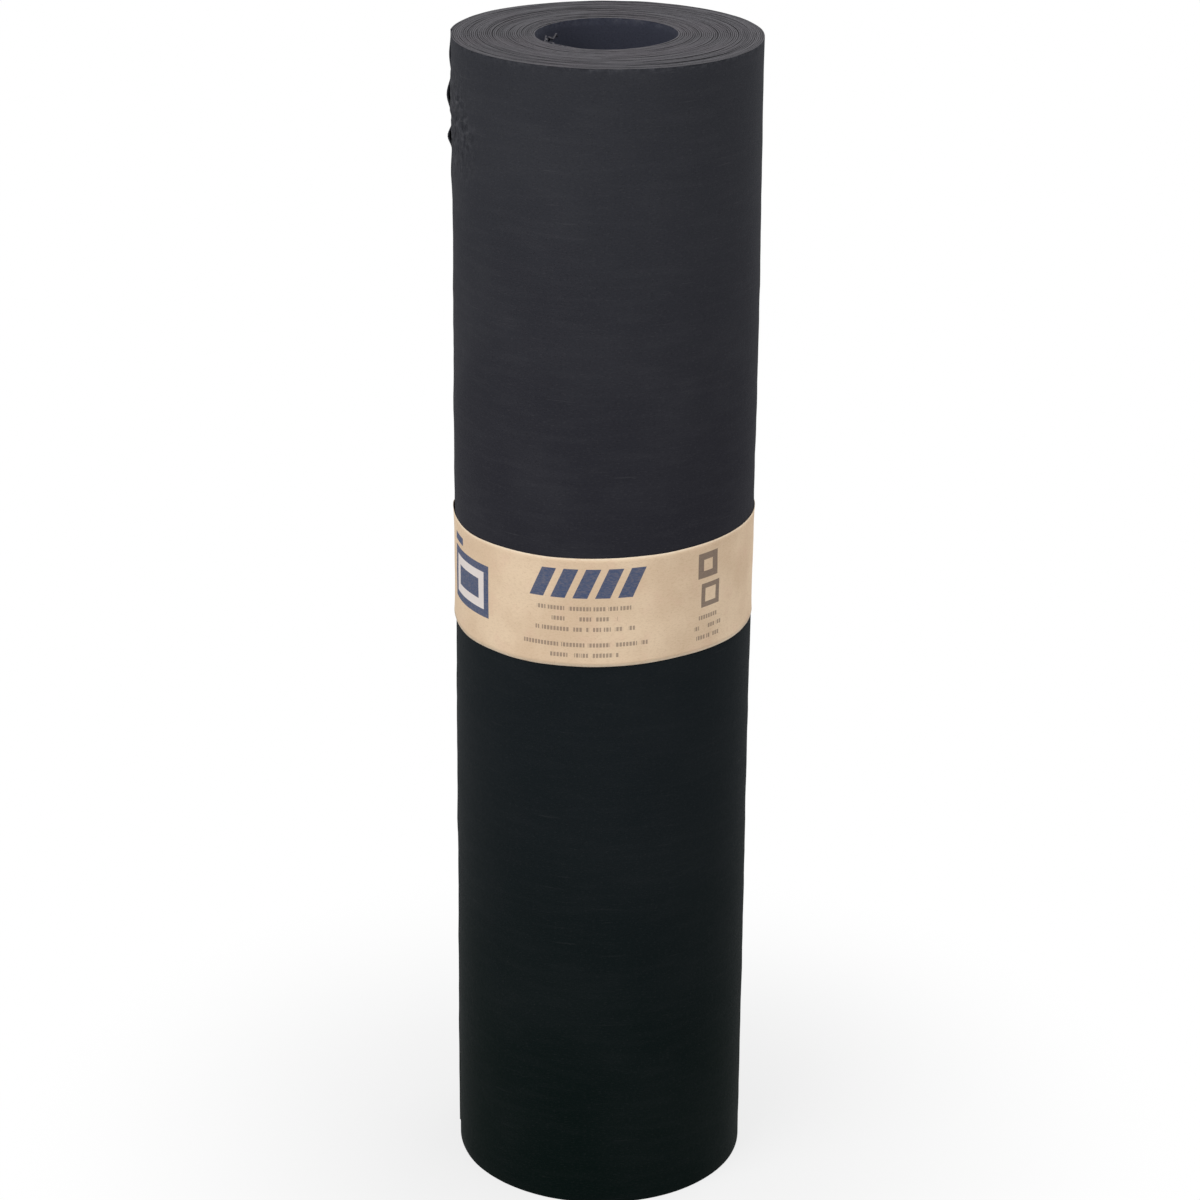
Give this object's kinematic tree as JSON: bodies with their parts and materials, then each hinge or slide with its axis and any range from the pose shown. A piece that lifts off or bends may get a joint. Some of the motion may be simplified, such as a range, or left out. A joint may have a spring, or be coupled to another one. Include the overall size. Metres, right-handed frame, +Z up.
{
  "type": "roll of roofing felt",
  "caption": "Heavy bitumen-saturated roofing felt wound into a coreless roll with an open bore, closed by a paper band; it stands on its end.",
  "frame": {"origin": "on the roll's axis, at the end that it stands on", "axes": "+Z up along the roll's axis, -Y towards the side that the picture shows, +X to that viewer's right"},
  "size_m": [0.23, 0.2294, 0.9144],
  "materials": {
    "felt": "matte bitumen-saturated felt",
    "kraft_paper": "matte kraft paper with dark blue print"
  },
  "bodies": {
    "root": {"felt_roll": "felt", "label_band": "kraft_paper"}
  },
  "joints": []
}
